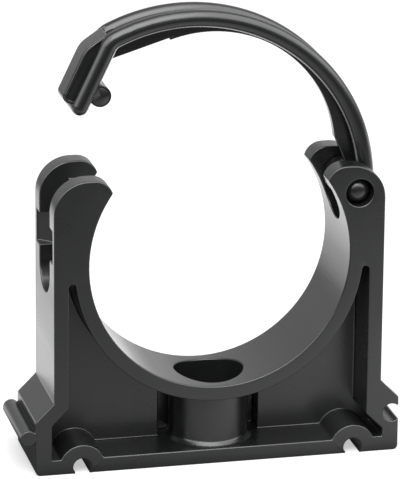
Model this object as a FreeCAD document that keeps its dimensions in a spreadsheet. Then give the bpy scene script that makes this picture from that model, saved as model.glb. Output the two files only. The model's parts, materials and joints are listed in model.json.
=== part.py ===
# Hinged pipe clip for a 63 mm pipe: a moulded base with two eared columns, and a strap that
# swings on two trunnions in the right ears and closes into the slot of the left ones.
# Millimetres. X runs across the clip, Y along the pipe, Z up from the base's underside.

import FreeCAD
import Part
import math
import os
import re
import Sketcher

from FreeCAD import Placement, Rotation, Vector

SIZES = [
    # the pipe and the clip's outer form
    ("pipe_radius", 31.5),
    ("pipe_height", 50.9),
    ("clip_depth", 23.2),
    ("column_half", 40.0),
    ("column_wall", 3.6),
    ("foot_half", 44.5),
    ("foot_wall", 4.0),
    ("foot_height", 13.5),
    ("floor_thickness", 3.7),
    ("foot_edge_radius", 1.2),
    ("cradle_wall", 3.5),
    # the ears and the slots between them
    ("ear_height", 72.1),
    ("ear_back_radius", 8.2),
    ("ear_tip_face", 3.3),
    ("ear_tip_slant", 1.0),
    ("ear_tip_radius", 4.5),
    ("slot_clearance", 0.35),
    ("left_slot_height", 42.4),
    ("leg_pocket_height", 54.5),
    ("hub_room", 4.7),
    ("nose_room", 2.8),
    ("notch_bottom", 52.0),
    ("notch_top", 59.8),
    ("notch_half", 9.6),
    ("notch_lip", 0.5),
    ("catch_radius", 1.45),
    ("catch_length", 2.9),
    ("catch_gap", 0.6),
    # the pockets, the web between them and the screw boss
    ("slit_height", 47.2),
    ("slit_radius", 0.9),
    ("pocket_bend_left", 16.4),
    ("pocket_bend_right", 9.8),
    ("web_thickness", 2.6),
    ("window_half", 12.3),
    ("window_depth", 5.0),
    ("boss_radius", 9.6),
    ("boss_foot_radius", 1.0),
    ("head_radius", 8.4),
    ("head_seat_height", 8.0),
    ("screw_radius", 4.4),
    # the joining grooves and the bead that fits them
    ("groove_radius", 2.2),
    ("groove_mouth", 3.5),
    ("groove_wall", 3.4),
    ("groove_height", 1.5),
    ("groove_x", 33.2),
    ("link_radius", 2.0),
    ("link_neck", 2.4),
    ("link_reach", 1.65),
    ("link_height", 9.6),
    # the hinge
    ("hinge_x", 33.7),
    ("hinge_height", 65.4),
    ("trunnion_radius", 3.3),
    ("hinge_clearance", 0.06),
    ("trunnion_recess", 0.9),
    ("trunnion_edge", 3.0),
    ("hub_radius", 4.5),
    ("hub_inset", 0.25),
    # the strap, with its places given for the closed clip
    ("strap_width", 11.6),
    ("bead_radius", 2.05),
    ("strap_web", 1.5),
    ("arc_x", -1.65),
    ("arc_height", 48.4),
    ("arc_radius", 42.65),
    ("arc_foot_height", 68.0),
    ("bend_radius", 4.0),
    ("leg_x", -35.55),
    ("leg_end_height", 55.4),
    ("grip_face_x", -40.3),
    ("grip_half", 3.1),
    ("grip_bottom", 57.0),
    ("grip_bottom_radius", 1.8),
    ("grip_bend_height", 70.3),
    ("grip_bend_radius", 6.0),
    ("grip_top_x", -37.2),
    ("grip_top", 75.7),
    ("rib_half", 1.2),
    ("rib_x", -0.46),
    ("rib_height", 57.56),
    ("rib_radius", 30.75),
    ("rib_leg_height", 67.7),
    ("rib_kink_x", -21.8),
    ("rib_kink_height", 80.4),
    ("rib_right_x", 26.2),
    ("rib_right_height", 73.6),
    ("rib_foot_x", 31.2),
    ("rib_foot_height", 69.0),
    ("nose_radius", 2.6),
    ("nose_half", 4.4),
    ("nose_edge", 0.6),
    ("nose_x", -32.15),
    ("nose_height", 61.6),
    ("open_angle", 25.5),
]
NAMES = {alias for alias, _ in SIZES}

doc = FreeCAD.newDocument("pipe_clip")
sheet = doc.addObject("Spreadsheet::Sheet", "sizes")
for row, (alias, number) in enumerate(SIZES, start=1):
    sheet.set("A%d" % row, alias)
    sheet.set("B%d" % row, str(number))
    sheet.setAlias("B%d" % row, alias)
doc.recompute()

BEYOND = "5"
FRONT = "-clip_depth / 2"
BACK = "clip_depth / 2"
OUT_FRONT = "-clip_depth"
OUT_BACK = "clip_depth"
ABOVE = "(ear_height + %s)" % BEYOND
OUTSIDE = "(foot_half + %s)" % BEYOND
SLOT_HALF = "(strap_width / 2 + slot_clearance)"
COLUMN_INNER = "(column_half - column_wall)"
FOOT_INNER = "(foot_half - foot_wall)"
LEG_INNER = "(leg_x + bead_radius + slot_clearance)"
BEAD_Y = "(strap_width / 2 - bead_radius)"


def value_of(expression):
    """What an expression of aliases comes to."""
    return float(sheet.evalExpression(expression))


def bind(thing, **expressions):
    """Ties properties to the sheet. A double underscore stands for a dot in a property's name."""
    def cell(word):
        return "sizes." + word.group() if word.group() in NAMES else word.group()
    for name, expression in expressions.items():
        thing.setExpression(name.replace("__", "."), re.sub(r"\w+", cell, expression))


def place(thing, x="0", y="0", z="0"):
    """Ties an object's place to the sheet."""
    bind(thing, Placement__Base__x=x, Placement__Base__y=y, Placement__Base__z=z)


ALONG_X = Rotation(Vector(0, 1, 0), 90)
ALONG_Y = Rotation(Vector(1, 0, 0), -90)
SEEN_FROM_FRONT = Rotation(Vector(1, 0, 0), 90)


def across(name, radius, low, high, x, z):
    """A cylinder along Y between two Y values, about a point of the XZ plane."""
    rod = doc.addObject("Part::Cylinder", name)
    rod.Placement = Placement(Vector(), ALONG_Y)
    bind(rod, Radius=radius, Height="(%s) - (%s)" % (high, low))
    place(rod, x, low, z)
    return rod


def sideways(name, radius, low, high, y, z):
    """A cylinder along X between two X values, about a point of the YZ plane."""
    rod = doc.addObject("Part::Cylinder", name)
    rod.Placement = Placement(Vector(), ALONG_X)
    bind(rod, Radius=radius, Height="(%s) - (%s)" % (high, low))
    place(rod, low, y, z)
    return rod


def upright(name, radius, low, high):
    """A cylinder along Z on the clip's own axis."""
    rod = doc.addObject("Part::Cylinder", name)
    bind(rod, Radius=radius, Height="(%s) - (%s)" % (high, low))
    place(rod, z=low)
    return rod


def box(name, x, y, z):
    """A box between three pairs of values."""
    block = doc.addObject("Part::Box", name)
    bind(block, Length="(%s) - (%s)" % (x[1], x[0]))
    bind(block, Width="(%s) - (%s)" % (y[1], y[0]))
    bind(block, Height="(%s) - (%s)" % (z[1], z[0]))
    place(block, x[0], y[0], z[0])
    return block


def fix(sketch, kind, places, expression):
    """Adds one measured constraint to a sketch and ties it to the sheet."""
    number = sketch.addConstraint(Sketcher.Constraint(kind, *places, value_of(expression)))
    bind(sketch, **{"Constraints[%d]" % number: expression})


def prism(name, corners, low, high, flat=False):
    """A straight-sided outline drawn out along Y, or along Z where it lies flat."""
    sketch = doc.addObject("Sketcher::SketchObject", name + "_outline")
    if not flat:
        sketch.Placement = Placement(Vector(), SEEN_FROM_FRONT)
    points = [Vector(value_of(x), value_of(z), 0) for x, z in corners]
    count = len(corners)
    for index in range(count):
        sketch.addGeometry(Part.LineSegment(points[index], points[(index + 1) % count]))
    for index in range(count):
        sketch.addConstraint(Sketcher.Constraint("Coincident", index, 2, (index + 1) % count, 1))
    for index, (x, z) in enumerate(corners):
        fix(sketch, "DistanceX", (-1, 1, index, 1), x)
        fix(sketch, "DistanceY", (-1, 1, index, 1), z)
    solid = doc.addObject("Part::Extrusion", name)
    solid.Base = sketch
    solid.Solid = True
    solid.DirMode = "Custom"
    solid.Dir = Vector(0, 0, 1) if flat else Vector(0, 1, 0)
    bind(solid, LengthFwd=high, LengthRev="-(%s)" % low)
    return solid


def fuse(name, pieces):
    """One solid from several that touch or overlap."""
    whole = doc.addObject("Part::MultiFuse", name)
    whole.Shapes = pieces
    whole.Refine = True
    return whole


def cut(name, body, tools):
    """A body less one tool or several."""
    result = doc.addObject("Part::Cut", name)
    result.Base = body
    result.Tool = tools[0] if len(tools) == 1 else fuse(name + "_tools", tools)
    result.Refine = True
    return result


def common(name, one, other):
    """What two solids share."""
    result = doc.addObject("Part::Common", name)
    result.Base = one
    result.Tool = other
    return result


def soften(name, body, rounds):
    """Rounds the edges that each test picks out, with a radius of their own."""
    doc.recompute()
    result = doc.addObject("Part::Fillet", name)
    result.Base = body
    chosen = []
    for test, alias in rounds:
        for number, edge in enumerate(body.Shape.Edges, start=1):
            if test(edge):
                chosen.append((number, value_of(alias), value_of(alias)))
    result.Edges = chosen
    return result


def runs_along_y(x, z):
    """A test for the straight edge along Y that passes through a point of the XZ plane."""
    x = value_of(x)
    z = value_of(z)
    near = 0.01

    def test(edge):
        return all(math.hypot(end.X - x, end.Z - z) < near for end in edge.Vertexes)
    return test


def is_ring(edge):
    """A test for the round edges at the ends of a plain rod."""
    return len(edge.Vertexes) == 1


def base_block():
    """The clip seen from the front: foot, columns and ears round the pipe, as one thick plate."""
    flare_top = "foot_height + foot_half - column_half"
    tip_x = "sqrt(pipe_radius ^ 2 - (ear_height - ear_tip_face - pipe_height) ^ 2)"
    right = [
        ("foot_half", "0"),
        ("foot_half", "foot_height"),
        ("column_half", flare_top),
        ("column_half", "ear_height"),
        (tip_x + " + ear_tip_slant", "ear_height"),
        (tip_x + " - ear_tip_slant", "ear_height - 2 * ear_tip_face"),
        (tip_x + " - ear_tip_slant", "pipe_height"),
    ]
    left = [("-(%s)" % x, z) for x, z in reversed(right)]
    block = prism("block", right + left, FRONT, BACK)
    pipe = across("pipe_space", "pipe_radius", OUT_FRONT, OUT_BACK, "0", "pipe_height")
    open_block = cut("open_block", block, [pipe])
    rounds = []
    for side in ("", "-"):
        tip = "%s(%s + ear_tip_slant)" % (side, tip_x)
        rounds.append((runs_along_y(side + "column_half", "ear_height"), "ear_back_radius"))
        rounds.append((runs_along_y(tip, "ear_height"), "ear_tip_radius"))
        rounds.append((runs_along_y(side + "foot_half", "0"), "foot_edge_radius"))
    return soften("rounded_block", open_block, rounds)


def pocket_space(name, low, high):
    """All between the columns above the floor, in one range of depth, with round-ended slits."""
    step = "(%s - %s)" % (FOOT_INNER, COLUMN_INNER)
    slit_end = "(slit_height - slit_radius)"
    left = [
        ("-" + COLUMN_INNER, slit_end),
        ("-" + COLUMN_INNER, "pocket_bend_left"),
        ("-" + FOOT_INNER, "pocket_bend_left - " + step),
        ("-" + FOOT_INNER, "floor_thickness"),
    ]
    right = [
        (FOOT_INNER, "floor_thickness"),
        (FOOT_INNER, "pocket_bend_right - " + step),
        (COLUMN_INNER, "pocket_bend_right"),
        (COLUMN_INNER, slit_end),
    ]
    pieces = [prism(name + "_block", left + right, low, high)]
    for side, sign in (("left", "-"), ("right", "")):
        x = "%s(%s - slit_radius)" % (sign, COLUMN_INNER)
        pieces.append(across("%s_%s_slit" % (name, side), "slit_radius", low, high, x, slit_end))
    return fuse(name, pieces)


def pockets():
    """The hollows on both faces of the web, which steps back behind the screw boss."""
    kept = [
        across("cradle_ring", "pipe_radius + cradle_wall", OUT_FRONT, OUT_BACK, "0", "pipe_height"),
        upright("boss", "boss_radius", "0", "pipe_height"),
    ]
    foot = doc.addObject("Part::Cone", "boss_foot")
    bind(foot, Radius1="boss_radius + boss_foot_radius", Radius2="boss_radius", Height="boss_foot_radius")
    place(foot, z="floor_thickness")
    kept.append(foot)
    for side, x in (("left", "-groove_x"), ("right", "groove_x")):
        radius = "groove_radius + groove_wall"
        kept.append(across(side + "_hump", radius, OUT_FRONT, OUT_BACK, x, "groove_height"))

    window_x = ("-window_half", "window_half")
    height = ("floor_thickness", "pipe_height")
    window = box("window", window_x, (OUT_FRONT, "window_depth"), height)
    front_space = fuse("front_space", [pocket_space("front_plain_space", OUT_FRONT, "0"), window])

    step_x = ("-window_half - web_thickness", "window_half + web_thickness")
    step = box("web_step", step_x, ("0", "window_depth + web_thickness"), height)
    back_space = pocket_space("back_space", "web_thickness", OUT_BACK)
    return [cut("front_pocket", front_space, kept), cut("back_pocket", back_space, kept + [step])]


def keyhole(name, x, z, mouth_x, mouth_z):
    """A round groove along the whole depth, and its narrower mouth in the face."""
    groove = across(name + "_round", "groove_radius", OUT_FRONT, OUT_BACK, x, z)
    mouth = box(name + "_mouth", mouth_x, (OUT_FRONT, OUT_BACK), mouth_z)
    return [groove, mouth]


def grooves():
    """Three joining grooves: two in the underside and one in the right end."""
    tools = []
    for side, x in (("left", "-groove_x"), ("right", "groove_x")):
        mouth_x = (x + " - groove_mouth / 2", x + " + groove_mouth / 2")
        tools += keyhole(side + "_groove", x, "groove_height", mouth_x, ("-" + BEYOND, "groove_height"))
    end_x = "foot_half - link_reach"
    mouth_z = ("link_height - groove_mouth / 2", "link_height + groove_mouth / 2")
    return tools + keyhole("end_groove", end_x, "link_height", (end_x, OUTSIDE), mouth_z)


def ear_slot(name, low, high, bottom):
    """A slot between the ears, open at the top, with a half-round bottom."""
    middle = "%s + %s" % (bottom, SLOT_HALF)
    channel = box(name, (low, high), ("-" + SLOT_HALF, SLOT_HALF), (middle, ABOVE))
    return [channel, sideways(name + "_end", SLOT_HALF, low, high, "0", middle)]


def strap_room():
    """The slots for the strap's root and leg, the notch at the leg's end and the hinge bore."""
    sides = ("-" + SLOT_HALF, SLOT_HALF)
    tools = ear_slot("right_slot", "0", OUTSIDE, "hinge_height - hub_radius - hub_room")
    tools += ear_slot("left_slot", "-" + OUTSIDE, "-" + COLUMN_INNER, "left_slot_height")
    tools += ear_slot("left_cradle_slot", LEG_INNER, "0", "nose_height - nose_radius - nose_room")
    tools.append(box("leg_pocket", ("-" + OUTSIDE, LEG_INNER), sides, ("leg_pocket_height", ABOVE)))
    lip = "notch_lip - column_half"
    slope = "%s + notch_half - %s" % (lip, SLOT_HALF)
    notch = [
        ("-" + OUTSIDE, "-notch_half"),
        (lip, "-notch_half"),
        (slope, "-" + SLOT_HALF),
        (slope, SLOT_HALF),
        (lip, "notch_half"),
        ("-" + OUTSIDE, "notch_half"),
    ]
    tools.append(prism("leg_notch", notch, "notch_bottom", "notch_top", flat=True))
    bore = "trunnion_radius + hinge_clearance"
    tools.append(across("hinge_bore", bore, OUT_FRONT, OUT_BACK, "hinge_x", "hinge_height"))
    return tools


def catches():
    """A small rounded catch inside each left ear, just above the closed strap's nose."""
    low = LEG_INNER + " + slot_clearance"
    height = "nose_height + nose_radius + catch_gap + catch_radius"
    return [
        sideways("front_catch", "catch_radius", low, low + " + catch_length", "-" + SLOT_HALF, height),
        sideways("back_catch", "catch_radius", low, low + " + catch_length", SLOT_HALF, height),
    ]


def link_bead():
    """The bead on the left end, on a thin neck: it slides into another clip's end groove."""
    x = "-foot_half - link_reach"
    neck_x = (x, "-foot_half + foot_wall / 2")
    neck_z = ("link_height - link_neck / 2", "link_height + link_neck / 2")
    return [
        across("link_bead", "link_radius", FRONT, BACK, x, "link_height"),
        box("link_neck_plate", neck_x, (FRONT, BACK), neck_z),
    ]


def clip_base():
    """The base, moulded in one: block less hollows and slots, with the catches and bead added."""
    screw = [
        upright("head_seat", "head_radius", "head_seat_height", "pipe_height"),
        upright("screw_hole", "screw_radius", "-" + BEYOND, "pipe_height"),
    ]
    hollow = cut("hollow_base", base_block(), pockets() + grooves() + strap_room() + screw)
    return fuse("clip_base", [hollow] + catches() + link_bead())


def at_hinge(x, z):
    """A point of the closed clip's XZ plane, measured from the hinge."""
    return "(%s) - hinge_x" % x, "(%s) - hinge_height" % z


def strap_section(name, x, z):
    """The strap's section where it lies level: two round beads joined by a thin web."""
    section = doc.addObject("Sketcher::SketchObject", name + "_section")
    place(section, x=x, z=z)
    bead = value_of("bead_radius")
    centre_y = value_of(BEAD_Y)
    web = value_of("strap_web / 2")
    turn = math.acos(web / bead)
    shoulder = centre_y - bead * math.sin(turn)
    normal = Vector(0, 0, 1)
    back = Part.Circle(Vector(0, centre_y, 0), normal, bead)
    front = Part.Circle(Vector(0, -centre_y, 0), normal, bead)
    section.addGeometry(Part.ArcOfCircle(back, -turn, math.pi + turn))
    section.addGeometry(Part.LineSegment(Vector(-web, shoulder, 0), Vector(-web, -shoulder, 0)))
    section.addGeometry(Part.ArcOfCircle(front, math.pi - turn, 2 * math.pi + turn))
    section.addGeometry(Part.LineSegment(Vector(web, -shoulder, 0), Vector(web, shoulder, 0)))
    for index in range(4):
        section.addConstraint(Sketcher.Constraint("Coincident", index, 2, (index + 1) % 4, 1))
    for arc, y in ((0, BEAD_Y), (2, "-" + BEAD_Y)):
        section.addConstraint(Sketcher.Constraint("PointOnObject", arc, 3, -2))
        fix(section, "DistanceY", (-1, 1, arc, 3), y)
        fix(section, "Radius", (arc,), "bead_radius")
    for line, side in ((1, "-"), (3, "")):
        section.addConstraint(Sketcher.Constraint("Vertical", line))
        fix(section, "DistanceX", (-1, 1, line, 1), side + "strap_web / 2")
    return section


def strap_bend(name, radius, outward, turn, x, z):
    """A stretch of the strap bent about a line along Y: its section, swung through an angle."""
    stretch = doc.addObject("Part::Revolution", name)
    stretch.Source = strap_section(name, "%s * %s" % (outward, radius), "0")
    stretch.Axis = Vector(0, -outward, 0)
    stretch.Solid = True
    bind(stretch, Angle=turn)
    place(stretch, x=x, z=z)
    return stretch


def strap_beads():
    """The strap's section along the straight leg, round the bend, and in the arc over the pipe."""
    inward = "(leg_x + bend_radius - arc_x)"
    rise = "sqrt((arc_radius - bend_radius) ^ 2 - %s ^ 2)" % inward
    joint_turn = "acos(%s / (arc_radius - bend_radius))" % inward
    foot_turn = "asin((arc_foot_height - arc_height) / arc_radius)"
    bend_x, bend_z = at_hinge("leg_x + bend_radius", "arc_height + %s" % rise)
    leg_x, leg_z = at_hinge("leg_x", "leg_end_height + bead_radius")
    leg = doc.addObject("Part::Extrusion", "leg")
    leg.Base = strap_section("leg", leg_x, leg_z)
    leg.Solid = True
    leg.DirMode = "Custom"
    leg.Dir = Vector(0, 0, 1)
    bind(leg, LengthFwd="%s - (%s)" % (bend_z, leg_z))
    bend = strap_bend("bend", "bend_radius", -1, "180 deg - " + joint_turn, bend_x, bend_z)
    arc_x, arc_z = at_hinge("arc_x", "arc_height")
    arc = strap_bend("arc", "arc_radius", 1, "%s - %s" % (joint_turn, foot_turn), arc_x, arc_z)
    arc.Placement = Placement(Vector(), Rotation(Vector(0, -1, 0), 1))
    bind(arc, Placement__Rotation__Angle=foot_turn)
    return [leg, bend, arc]


def end_bar(name, x, z):
    """A bar with ball ends, which rounds off both beads where the section stops."""
    pieces = [across(name, "bead_radius", "-" + BEAD_Y, BEAD_Y, x, z)]
    for side, y in (("front", "-" + BEAD_Y), ("back", BEAD_Y)):
        ball = doc.addObject("Part::Sphere", "%s_%s_ball" % (name, side))
        bind(ball, Radius="bead_radius")
        place(ball, x, y, z)
        pieces.append(ball)
    return pieces


def strap_rib():
    """The stiffening rib under the arc: straight by the leg, round over the pipe, straight to the hub."""
    disc = across("rib_disc", "arc_radius", "-rib_half", "rib_half", *at_hinge("arc_x", "arc_height"))
    top = "arc_height + arc_radius"
    straight = [
        at_hinge("leg_x", "rib_leg_height"),
        at_hinge("rib_kink_x", "rib_kink_height"),
        at_hinge("rib_kink_x", top),
        at_hinge("leg_x", top),
    ]
    curved = [
        at_hinge("rib_kink_x", "rib_right_height"),
        at_hinge("rib_right_x", "rib_right_height"),
        at_hinge("rib_foot_x", "rib_foot_height"),
        at_hinge("hinge_x + hub_radius / 2", "rib_foot_height"),
        at_hinge("hinge_x + hub_radius / 2", top),
        at_hinge("rib_kink_x", top),
    ]
    near_leg = common("straight_rib", disc, prism("rib_straight", straight, "-rib_half", "rib_half"))
    blank = common("rib_blank", disc, prism("rib_curved", curved, "-rib_half", "rib_half"))
    hollow = across("rib_hollow", "rib_radius", OUT_FRONT, OUT_BACK, *at_hinge("rib_x", "rib_height"))
    return [near_leg, cut("curved_rib", blank, [hollow])]


def strap_grip():
    """The thumb grip on the leg, which ends flush with the column when the strap is closed."""
    corners = [
        at_hinge("leg_x", "grip_bottom"),
        at_hinge("leg_x", "grip_bend_height"),
        at_hinge("grip_top_x + bead_radius", "grip_top - bead_radius / 2"),
        at_hinge("grip_top_x", "grip_top"),
        at_hinge("grip_face_x", "grip_bend_height"),
        at_hinge("grip_face_x", "grip_bottom"),
    ]
    grip = prism("grip_blank", corners, "-grip_half", "grip_half")
    bend = runs_along_y(*at_hinge("grip_face_x", "grip_bend_height"))
    bottom = runs_along_y(*at_hinge("grip_face_x", "grip_bottom"))
    return soften("strap_grip", grip, [(bend, "grip_bend_radius"), (bottom, "grip_bottom_radius")])


def rounded_rod(name, radius, half, x, z, edge):
    """A rod along Y whose two ends are rounded off."""
    rod = across(name + "_rod", radius, "-(%s)" % half, half, x, z)
    return soften(name, rod, [(is_ring, edge)])


def strap_nose():
    """The round nose inside the leg's end, on a neck: it snaps under the base's catches."""
    x, z = at_hinge("nose_x", "nose_height")
    leg_x = at_hinge("leg_x", "nose_height")[0]
    half = "(nose_half - nose_edge)"
    neck_z = (z + " - nose_radius / 2", z + " + nose_radius / 2")
    neck = box("nose_neck", (leg_x, x), ("-" + half, half), neck_z)
    return [neck, rounded_rod("nose", "nose_radius", "nose_half", x, z, "nose_edge")]


def strap():
    """The strap, moulded in one: built closed about the hinge, then swung open."""
    arc_foot = "arc_x + sqrt(arc_radius ^ 2 - (arc_foot_height - arc_height) ^ 2)"
    half = "(strap_width / 2 - hub_inset)"
    beads = strap_beads()
    beads += end_bar("leg_end", *at_hinge("leg_x", "leg_end_height + bead_radius"))
    beads += end_bar("arc_foot", *at_hinge(arc_foot, "arc_foot_height"))
    pieces = [fuse("beads", beads), fuse("strap_rib", strap_rib()), strap_grip()] + strap_nose()
    pieces.append(across("hub", "hub_radius", "-" + half, half, "0", "0"))
    reach = "clip_depth / 2 - trunnion_recess"
    pieces.append(rounded_rod("trunnions", "trunnion_radius", reach, "0", "0", "trunnion_edge"))
    whole = fuse("strap", pieces)
    whole.Placement = Placement(Vector(), Rotation(Vector(0, 1, 0), 1))
    bind(whole, Placement__Rotation__Angle="open_angle")
    place(whole, x="hinge_x", z="hinge_height")
    return whole


nodes = [clip_base(), strap()]
doc.recompute()
for thing in doc.Objects:
    if "Invalid" in thing.State or "Error" in thing.State:
        raise RuntimeError("%s didn't build" % thing.Name)
os.makedirs("parts", exist_ok=True)
for node in nodes:
    if node.Shape.isNull() or not node.Shape.isValid() or len(node.Shape.Solids) != 1:
        raise RuntimeError("%s isn't one valid solid" % node.Label)
    node.Shape.exportStep("parts/%s.step" % node.Label)
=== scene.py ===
import json
import math

import bmesh
import bpy
from mathutils import Matrix, Vector


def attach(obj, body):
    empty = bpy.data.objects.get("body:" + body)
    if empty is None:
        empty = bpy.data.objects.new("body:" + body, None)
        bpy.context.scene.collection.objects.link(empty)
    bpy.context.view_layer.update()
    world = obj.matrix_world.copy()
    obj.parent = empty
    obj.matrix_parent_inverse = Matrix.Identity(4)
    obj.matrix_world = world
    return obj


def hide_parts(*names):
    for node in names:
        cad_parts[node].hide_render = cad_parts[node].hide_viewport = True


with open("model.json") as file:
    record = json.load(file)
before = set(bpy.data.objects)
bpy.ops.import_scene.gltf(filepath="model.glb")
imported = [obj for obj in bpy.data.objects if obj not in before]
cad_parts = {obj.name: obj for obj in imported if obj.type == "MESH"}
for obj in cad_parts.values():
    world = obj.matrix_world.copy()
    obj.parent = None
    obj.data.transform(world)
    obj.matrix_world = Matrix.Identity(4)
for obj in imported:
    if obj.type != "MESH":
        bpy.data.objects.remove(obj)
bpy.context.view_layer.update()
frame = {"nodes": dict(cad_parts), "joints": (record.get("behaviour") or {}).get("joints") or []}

# The base: foot, columns, ears and pipe cradle moulded in one shot of black polypropylene.
# The mould's parting edges are slightly rounded, and its walls have a fine spark-eroded grain.
# It is screwed down through the boss, and it carries the strap in the bores of its right ears.

BASE_EDGE = 0.00035
BASE_BLACK = (0.0135, 0.014, 0.0147)
BASE_ROUGHNESS = 0.29
BASE_GRAIN = 0.12

FACET_GAP = 2e-6
SHORTEST_EDGE = 5e-5
SHARP_ANGLE = math.radians(30)
EDGE_STEPS = 3
EDGE_ROUNDNESS = 0.5

POLYPROPYLENE_IOR = 1.5
FLOW_STRETCH = (1, 0.12, 1)
FLOW_SCALE = 260
FLOW_DETAIL = 3
FLOW_TINT = 0.15
CLOUD_SCALE = 55
CLOUD_DETAIL = 2
CLOUD_SHARE = 0.8
MARKS_LOW = 0.3
MARKS_HIGH = 0.7
GLOSS_SPREAD = 0.07
SPECKLE_SCALE = 2600
SPECKLE_DETAIL = 2
SPECKLE_DEPTH = 0.0001


def place_in_scene(name, data):
    """Puts a mesh, a curve, a lamp or a lens into the scene as an object of that name."""
    thing = bpy.data.objects.new(name, data)
    bpy.context.scene.collection.objects.link(thing)
    return thing


def clean_copy(node, name):
    """A copy of a moulding's solid, with its facets merged and its shortest edges taken out."""
    mesh = frame["nodes"][node].data.copy()
    mesh.name = name
    shape = bmesh.new()
    shape.from_mesh(mesh)
    bmesh.ops.remove_doubles(shape, verts=shape.verts, dist=FACET_GAP)
    bmesh.ops.dissolve_degenerate(shape, dist=SHORTEST_EDGE, edges=shape.edges)
    shape.to_mesh(mesh)
    shape.free()
    return place_in_scene(name, mesh)


def round_edges(piece, radius, inner):
    """Rounds off a moulding's sharp edges, and fills its inner corners too if asked."""
    shape = bmesh.new()
    shape.from_mesh(piece.data)
    sharp = [
        edge for edge in shape.edges
        if edge.is_manifold and (inner or edge.is_convex) and edge.calc_face_angle() > SHARP_ANGLE
    ]
    bmesh.ops.bevel(
        shape, geom=sharp, offset=radius, segments=EDGE_STEPS, profile=EDGE_ROUNDNESS,
        affect="EDGES", clamp_overlap=False, loop_slide=False,
    )
    shape.to_mesh(piece.data)
    shape.free()
    for face in piece.data.polygons:
        face.use_smooth = True
    piece.data.set_sharp_from_angle(angle=SHARP_ANGLE)
    even = piece.modifiers.new("even_faces", "WEIGHTED_NORMAL")
    even.keep_sharp = True


def stand_flat(piece):
    """Lifts back to the ground what the filled corners of the grooves push below it."""
    for point in piece.data.vertices:
        point.co.z = max(point.co.z, 0.0)


def feed(tree, node, inputs):
    """Sets a node's inputs to values, or links them to the outputs of other nodes."""
    for name, value in inputs.items():
        if isinstance(value, bpy.types.NodeSocket):
            tree.links.new(value, node.inputs[name])
        else:
            node.inputs[name].default_value = value


def add_node(tree, kind, inputs=None, **settings):
    """Adds a node to a tree. Its settings are made before its inputs are fed."""
    node = tree.nodes.new(kind)
    for setting, value in settings.items():
        setattr(node, setting, value)
    feed(tree, node, inputs or {})
    return node


def slope(tree, value, start, end, low=0.0, high=1.0):
    """Goes from low to high while a value goes from start to end."""
    ramp = add_node(tree, "ShaderNodeMapRange", {
        "Value": value, "From Min": start, "From Max": end, "To Min": low, "To Max": high,
    })
    return ramp.outputs["Result"]


def mixed(tree, share, first, second):
    """The first number with a share of the second mixed into it."""
    mix = add_node(tree, "ShaderNodeMix", {"Factor": share, "A": first, "B": second})
    return mix.outputs["Result"]


def soft_noise(tree, place, scale, detail):
    """A soft noise, finer the larger its scale."""
    noise = add_node(tree, "ShaderNodeTexNoise", {
        "Vector": place, "Scale": scale, "Detail": detail,
    })
    return noise.outputs["Fac"]


def moulded_plastic(name, colour, roughness, grain):
    """Black polypropylene as it leaves the mould: satin, with a fine grain and flow marks."""
    material = bpy.data.materials.new(name)
    material.use_nodes = True
    tree = material.node_tree
    place = add_node(tree, "ShaderNodeTexCoord").outputs["Object"]
    stretch = add_node(tree, "ShaderNodeMapping", {"Vector": place, "Scale": FLOW_STRETCH})
    drawn_out = stretch.outputs["Vector"]

    flow = soft_noise(tree, drawn_out, FLOW_SCALE, FLOW_DETAIL)
    tint = add_node(tree, "ShaderNodeMix", {
        "Factor": flow,
        "A": (*[part * (1 - FLOW_TINT) for part in colour], 1),
        "B": (*[part * (1 + FLOW_TINT) for part in colour], 1),
    }, data_type="RGBA")

    clouds = soft_noise(tree, drawn_out, CLOUD_SCALE, CLOUD_DETAIL)
    marks = mixed(tree, CLOUD_SHARE, flow, clouds)
    gloss = slope(
        tree, marks, MARKS_LOW, MARKS_HIGH, roughness - GLOSS_SPREAD, roughness + GLOSS_SPREAD,
    )

    speckle = soft_noise(tree, place, SPECKLE_SCALE, SPECKLE_DETAIL)
    bump = add_node(tree, "ShaderNodeBump", {
        "Strength": grain, "Distance": SPECKLE_DEPTH, "Height": speckle,
    })
    feed(tree, tree.nodes["Principled BSDF"], {
        "IOR": POLYPROPYLENE_IOR,
        "Base Color": tint.outputs["Result"],
        "Roughness": gloss,
        "Normal": bump.outputs["Normal"],
    })
    return material


base = clean_copy("clip_base", "moulded_base")
round_edges(base, BASE_EDGE, inner=True)
stand_flat(base)
base_plastic = moulded_plastic("black_polypropylene", BASE_BLACK, BASE_ROUGHNESS, BASE_GRAIN)
base.data.materials.clear()
base.data.materials.append(base_plastic)
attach(base, "base")
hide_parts("clip_base")

# The strap: two round beads on a thin web, with its grip, nose and trunnions, moulded in one
# of the same polypropylene, in a more polished mould. The trunnions snap into the right ears,
# and the strap swings on them over the pipe. Places on it are given with the strap closed.

STRAP_EDGE = 0.0003
STRAP_BLACK = (0.013, 0.0135, 0.0142)
STRAP_ROUGHNESS = 0.22
STRAP_GRAIN = 0.1

NOSE_CLOSED_X = -0.03215
NOSE_CLOSED_Z = 0.0616
NOSE_RADIUS = 0.0026
NOSE_HALF = 0.0044
NOSE_EDGE = 0.0006
NOSE_TOLERANCE = 1e-5
END_FACING = 0.999
DOME_REACH = 1.35
DOME_FALL = 0.8
DOME_RIM = 0.12

hinge = next(joint for joint in frame["joints"] if joint["name"] == "strap_hinge")
hinge_x, _, hinge_z = hinge["pos_m"]
rest_opening = math.radians(hinge["range_deg"][1])


def swung_open(x, z):
    """Where a place on the closed strap lies at rest, with the strap open on its hinge."""
    across = x - hinge_x
    above = z - hinge_z
    return (
        hinge_x + across * math.cos(rest_opening) + above * math.sin(rest_opening),
        hinge_z - across * math.sin(rest_opening) + above * math.cos(rest_opening),
    )


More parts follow.
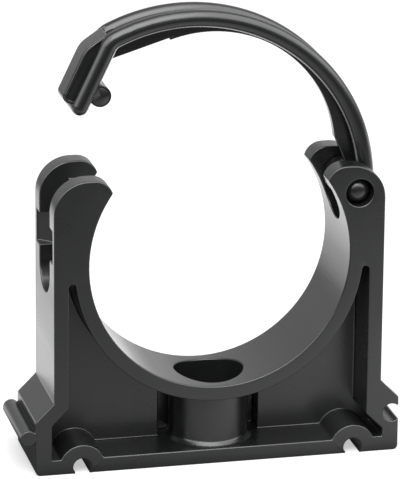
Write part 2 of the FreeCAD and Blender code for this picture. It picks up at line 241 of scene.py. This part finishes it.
def dome_nose(piece):
    """Domes the nose's two flat ends, as the round pocket that forms them in the mould is."""
    nose_x, nose_z = swung_open(NOSE_CLOSED_X, NOSE_CLOSED_Z)
    shape = bmesh.new()
    shape.from_mesh(piece.data)
    for side in (-1, 1):
        flat = []
        for face in shape.faces:
            middle = face.calc_center_median()
            on_nose = math.hypot(middle.x - nose_x, middle.z - nose_z) < NOSE_RADIUS
            at_end = middle.y * side > NOSE_HALF - NOSE_TOLERANCE
            if on_nose and at_end and face.normal.y * side > END_FACING:
                flat.append(face)
        end = bmesh.ops.dissolve_faces(shape, faces=flat)["region"]
        bmesh.ops.poke(shape, faces=end)
    foot = NOSE_HALF - NOSE_EDGE
    for point in shape.verts:
        out = math.hypot(point.co.x - nose_x, point.co.z - nose_z) / (NOSE_RADIUS - NOSE_EDGE)
        over = abs(point.co.y) - foot
        if out < DOME_REACH and NOSE_TOLERANCE < over < NOSE_EDGE + NOSE_TOLERANCE:
            height = foot + over * max(DOME_RIM, 1 - DOME_FALL * out ** 2)
            point.co.y = math.copysign(height, point.co.y)
    shape.to_mesh(piece.data)
    shape.free()


strap = clean_copy("strap", "moulded_strap")
dome_nose(strap)
round_edges(strap, STRAP_EDGE, inner=False)
strap_plastic = moulded_plastic(
    "black_polypropylene_strap", STRAP_BLACK, STRAP_ROUGHNESS, STRAP_GRAIN,
)
strap.data.materials.clear()
strap.data.materials.append(strap_plastic)
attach(strap, "strap")
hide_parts("strap")

# The grip's lips: a fine round lip along each outer edge of the thumb grip, moulded in one
# with the strap and of its plastic, so that the thumb doesn't slip off sideways. Each follows
# the grip's outline a little inside it, from the leg's bead at the foot to the bead at the bend.

GRIP_FACE_X = -0.0403
GRIP_BOTTOM = 0.0570
GRIP_BEND = 0.0703
GRIP_TOP_X = -0.0372
GRIP_TOP = 0.0757
LIP_RADIUS = 0.00042
LIP_SIDES = 12
LIP_INSET = 0.00065
LIP_HALF = 0.00308
LIP_CORNER = 0.0012
LIP_BEND = 0.0054
LIP_BEND_STEPS = 10
LIP_FOOT_X = -0.0372
LIP_HEAD_X = -0.0362
LIP_SEAM_GAP = 1e-6
LIP_SHARP_ANGLE = math.radians(50)


def lip_route():
    """The lip's middle line on the front edge at rest, as a curve with a radius at each bend."""
    lean = math.atan2(GRIP_TOP_X - GRIP_FACE_X, GRIP_TOP - GRIP_BEND)
    side_x = GRIP_FACE_X + LIP_INSET
    low = GRIP_BOTTOM + LIP_INSET
    bend = GRIP_BEND - LIP_INSET * math.tan(lean / 2)
    head = bend + (LIP_HEAD_X - side_x) / math.tan(lean)
    corners = (
        (LIP_FOOT_X, low, 0.0), (side_x, low, LIP_CORNER),
        (side_x, bend, LIP_BEND), (LIP_HEAD_X, head, 0.0),
    )
    curve = bpy.data.curves.new("grip_edge", "CURVE")
    curve.dimensions = "3D"
    line = curve.splines.new("POLY")
    line.points.add(len(corners) - 1)
    for point, (closed_x, closed_z, turn) in zip(line.points, corners):
        x, z = swung_open(closed_x, closed_z)
        point.co = (x, -LIP_HALF, z, 1)
        point.radius = turn
    return curve


tree = bpy.data.node_groups.new("lip_along_edge", "GeometryNodeTree")
tree.interface.new_socket("Edge", in_out="INPUT", socket_type="NodeSocketGeometry")
lip_radius = tree.interface.new_socket(
    "Lip radius", in_out="INPUT", socket_type="NodeSocketFloat",
)
lip_sides = tree.interface.new_socket("Lip sides", in_out="INPUT", socket_type="NodeSocketInt")
bend_steps = tree.interface.new_socket("Bend steps", in_out="INPUT", socket_type="NodeSocketInt")
tree.interface.new_socket("Lips", in_out="OUTPUT", socket_type="NodeSocketGeometry")

given = add_node(tree, "NodeGroupInput").outputs
bends = add_node(tree, "GeometryNodeInputRadius").outputs["Radius"]
rounded = add_node(tree, "GeometryNodeFilletCurve", {
    "Curve": given["Edge"], "Radius": bends, "Count": given["Bend steps"],
}, mode="POLY")
even_line = add_node(tree, "GeometryNodeSetCurveRadius", {
    "Curve": rounded.outputs["Curve"], "Radius": 1.0,
})
section = add_node(tree, "GeometryNodeCurvePrimitiveCircle", {
    "Radius": given["Lip radius"], "Resolution": given["Lip sides"],
})
front_lip = add_node(tree, "GeometryNodeCurveToMesh", {
    "Curve": even_line.outputs["Curve"], "Profile Curve": section.outputs["Curve"],
    "Fill Caps": True,
}).outputs["Mesh"]
back_lip = add_node(tree, "GeometryNodeTransform", {"Geometry": front_lip, "Scale": (1, -1, 1)})
both_lips = add_node(tree, "GeometryNodeJoinGeometry", {"Geometry": front_lip})
feed(tree, both_lips, {"Geometry": back_lip.outputs["Geometry"]})
real = add_node(tree, "GeometryNodeRealizeInstances", {
    "Geometry": both_lips.outputs["Geometry"],
})
coated = add_node(tree, "GeometryNodeSetMaterial", {
    "Geometry": real.outputs["Geometry"], "Material": strap_plastic,
})
add_node(tree, "NodeGroupOutput", {"Lips": coated.outputs["Geometry"]})

guide = place_in_scene("grip_edge", lip_route())
follow = guide.modifiers.new("lip_along_edge", "NODES")
follow.node_group = tree
follow[lip_radius.identifier] = LIP_RADIUS
follow[lip_sides.identifier] = LIP_SIDES
follow[bend_steps.identifier] = LIP_BEND_STEPS
evaluated = bpy.context.evaluated_depsgraph_get()
lip_mesh = bpy.data.meshes.new_from_object(guide.evaluated_get(evaluated), depsgraph=evaluated)
bpy.data.objects.remove(guide)

shape = bmesh.new()
shape.from_mesh(lip_mesh)
bmesh.ops.remove_doubles(shape, verts=shape.verts, dist=LIP_SEAM_GAP)
bmesh.ops.recalc_face_normals(shape, faces=shape.faces)
shape.to_mesh(lip_mesh)
shape.free()
for face in lip_mesh.polygons:
    face.use_smooth = True
lip_mesh.set_sharp_from_angle(angle=LIP_SHARP_ANGLE)
lip_mesh.name = "grip_lips"
lips = place_in_scene("grip_lips", lip_mesh)
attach(lips, "strap")

# The table that the clip stands on: a plain white sheet, which runs out of view all round
# and shows only the clip's soft shadow. To the clip's gloss alone it glows instead with a
# painted reflection: painted shade under the clip and far in front, a painted sheen behind
# it, and lighter on the right.

FLOOR_HALF = 3.0
FLOOR_PAINT = 0.85
FLOOR_LIFT = 0.5
SHEEN_FRONT_Y = -0.30
SHEEN_BACK_Y = 0.50
SHEEN_AT_FRONT = 0.05
SHEEN_AT_BACK = 0.2
# Levels of the painted reflection from the front to the back: place in metres, brightness. The
# dark stops are painted shade under the clip.
SHEEN_STOPS = (
    (-0.27, 0.05), (-0.20, 0.22), (-0.05, 0.58), (-0.02, 0.50), (-0.009, 0.05),
    (0.02, 0.05), (0.045, 0.88), (0.17, 0.88), (0.40, 0.25),
)
BEHIND = {"start": -0.01, "end": 0.03}
RISE_IN_FRONT = {"start": -0.02, "end": 0.08, "low": 1.75, "high": 3.4}
RISE_BEHIND = {"start": 0.03, "end": 0.07, "low": 2.0, "high": 3.4}


def grey(level):
    """A neutral colour of a given level."""
    return (level, level, level, 1)


def times(tree, first, second):
    """The product of two values."""
    product = add_node(tree, "ShaderNodeMath", {0: first, 1: second}, operation="MULTIPLY")
    return product.outputs[0]


sheet_mesh = bpy.data.meshes.new("floor")
sheet_mesh.from_pydata(
    [(x * FLOOR_HALF, y * FLOOR_HALF, 0) for x, y in ((-1, -1), (1, -1), (1, 1), (-1, 1))],
    [],
    [(0, 1, 2, 3)],
)
floor = place_in_scene("floor", sheet_mesh)
white = bpy.data.materials.new("white_floor")
white.use_nodes = True
tree = white.node_tree
rays = add_node(tree, "ShaderNodeLightPath").outputs
paint = tree.nodes["Principled BSDF"]
feed(tree, paint, {
    "Base Color": grey(FLOOR_PAINT),
    "Roughness": 1.0,
    "Specular IOR Level": 0.0,
    "Emission Color": grey(1.0),
    "Emission Strength": times(tree, rays["Is Camera Ray"], FLOOR_LIFT),
})

place = add_node(tree, "ShaderNodeTexCoord").outputs["Object"]
spot = add_node(tree, "ShaderNodeSeparateXYZ", {"Vector": place}).outputs
front_to_back = add_node(tree, "ShaderNodeValToRGB", {
    "Fac": slope(tree, spot["Y"], SHEEN_FRONT_Y, SHEEN_BACK_Y),
})
stops = front_to_back.color_ramp.elements
stops[0].position = 0.0
stops[1].position = 1.0
for y, level in SHEEN_STOPS:
    stop = stops.new((y - SHEEN_FRONT_Y) / (SHEEN_BACK_Y - SHEEN_FRONT_Y))
    stop.color = grey(level)
stops[0].color = grey(SHEEN_AT_FRONT)
stops[len(stops) - 1].color = grey(SHEEN_AT_BACK)
left_to_right = mixed(
    tree,
    slope(tree, spot["Y"], **BEHIND),
    slope(tree, spot["X"], **RISE_IN_FRONT),
    slope(tree, spot["X"], **RISE_BEHIND),
)
# The painted reflection: an emission that only glossy rays see, with painted shade under the clip
# and a painted sheen behind it.
painted_sheen = add_node(tree, "ShaderNodeEmission", {
    "Strength": times(tree, front_to_back.outputs["Color"], left_to_right),
})
seen = add_node(tree, "ShaderNodeMixShader", {
    "Fac": rays["Is Glossy Ray"], 1: paint.outputs["BSDF"], 2: painted_sheen.outputs["Emission"],
})
feed(tree, tree.nodes["Material Output"], {"Surface": seen.outputs["Shader"]})
floor.data.materials.append(white)

# The studio: an evenly lit white room, with one broad soft lamp high in front on the left.
# The clip's gloss mirrors dimmer walls, lighter behind and on the right, and a bright panel
# high in front and at both sides, which draws the light lines along the rounded edges.

ROOM_FILL = 0.45
WALLS_BACK = {"start": -0.3, "end": 0.3, "low": 0.35, "high": 0.8}
WALLS_RIGHT = {"start": -0.35, "end": 0.25, "low": 0.85, "high": 1.25}
PANEL_LEVEL = 5.2
PANEL_DROP = 0.32
PANEL_HEIGHT = {"start": 0.38, "end": 0.64}
PANEL_DEPTH = {"start": 0.30, "end": 0.0}
LAMP_PLACE = Vector((-0.15, -0.60, 1.0))
LAMP_AIM = Vector((0, 0, 0.05))
LAMP_SIZE = 0.9
LAMP_WATTS = 9


def larger(tree, first, second):
    """The larger of two values."""
    most = add_node(tree, "ShaderNodeMath", {0: first, 1: second}, operation="MAXIMUM")
    return most.outputs[0]


world = bpy.data.worlds.new("white_room")
bpy.context.scene.world = world
world.use_nodes = True
tree = world.node_tree
tree.nodes.clear()
rays = add_node(tree, "ShaderNodeLightPath").outputs
place = add_node(tree, "ShaderNodeTexCoord").outputs["Generated"]
toward = add_node(tree, "ShaderNodeSeparateXYZ", {"Vector": place}).outputs
walls = times(
    tree,
    slope(tree, toward["Y"], **WALLS_BACK),
    slope(tree, toward["X"], **WALLS_RIGHT),
)
aside = add_node(tree, "ShaderNodeMath", {0: toward["X"]}, operation="ABSOLUTE").outputs[0]
height = add_node(
    tree, "ShaderNodeMath", {0: aside, 1: PANEL_DROP, 2: toward["Z"]}, operation="MULTIPLY_ADD",
).outputs[0]
panel = times(
    tree,
    slope(tree, height, **PANEL_HEIGHT),
    slope(tree, toward["Y"], **PANEL_DEPTH),
)
mirrored_room = mixed(tree, panel, walls, PANEL_LEVEL)
clip_light = mixed(tree, rays["Is Glossy Ray"], ROOM_FILL, mirrored_room)
white_to_camera = larger(tree, rays["Is Camera Ray"], rays["Is Transmission Ray"])
room = add_node(tree, "ShaderNodeBackground", {
    "Color": grey(1.0),
    "Strength": larger(tree, clip_light, white_to_camera),
})
add_node(tree, "ShaderNodeOutputWorld", {"Surface": room.outputs["Background"]})

soft_box = bpy.data.lights.new("key", "AREA")
soft_box.size = LAMP_SIZE
soft_box.energy = LAMP_WATTS
lamp = place_in_scene("key", soft_box)
lamp.location = LAMP_PLACE
lamp.rotation_euler = (LAMP_AIM - LAMP_PLACE).to_track_quat("-Z", "Y").to_euler()

# The camera: a long lens to the left of the front, looking slightly down on the clip, at the
# angles, the distance and the length of lens that lay the part over the photo.

VIEW_AZIMUTH = math.radians(13.498)
VIEW_ELEVATION = math.radians(17.613)
VIEW_ROLL = math.radians(0.544)
VIEW_DISTANCE = 0.9098
VIEW_AIM = Vector((-0.00233, 0, 0.05265))
LENS_MM = 287.55
SENSOR_MM = 36
NEAREST = 0.05

ahead = Vector((
    math.sin(VIEW_AZIMUTH) * math.cos(VIEW_ELEVATION),
    math.cos(VIEW_AZIMUTH) * math.cos(VIEW_ELEVATION),
    -math.sin(VIEW_ELEVATION),
))
level_right = Vector((math.cos(VIEW_AZIMUTH), -math.sin(VIEW_AZIMUTH), 0))
level_up = level_right.cross(ahead)
right = level_right * math.cos(VIEW_ROLL) + level_up * math.sin(VIEW_ROLL)
up = right.cross(ahead)
lens = bpy.data.cameras.new("camera")
lens.sensor_fit = "VERTICAL"
lens.sensor_height = SENSOR_MM
lens.lens = LENS_MM
lens.clip_start = NEAREST
camera = place_in_scene("camera", lens)
turn = Matrix((right, up, -ahead)).transposed().to_4x4()
camera.matrix_world = Matrix.Translation(VIEW_AIM - ahead * VIEW_DISTANCE) @ turn
bpy.context.scene.camera = camera
bpy.context.scene.view_settings.view_transform = "Standard"
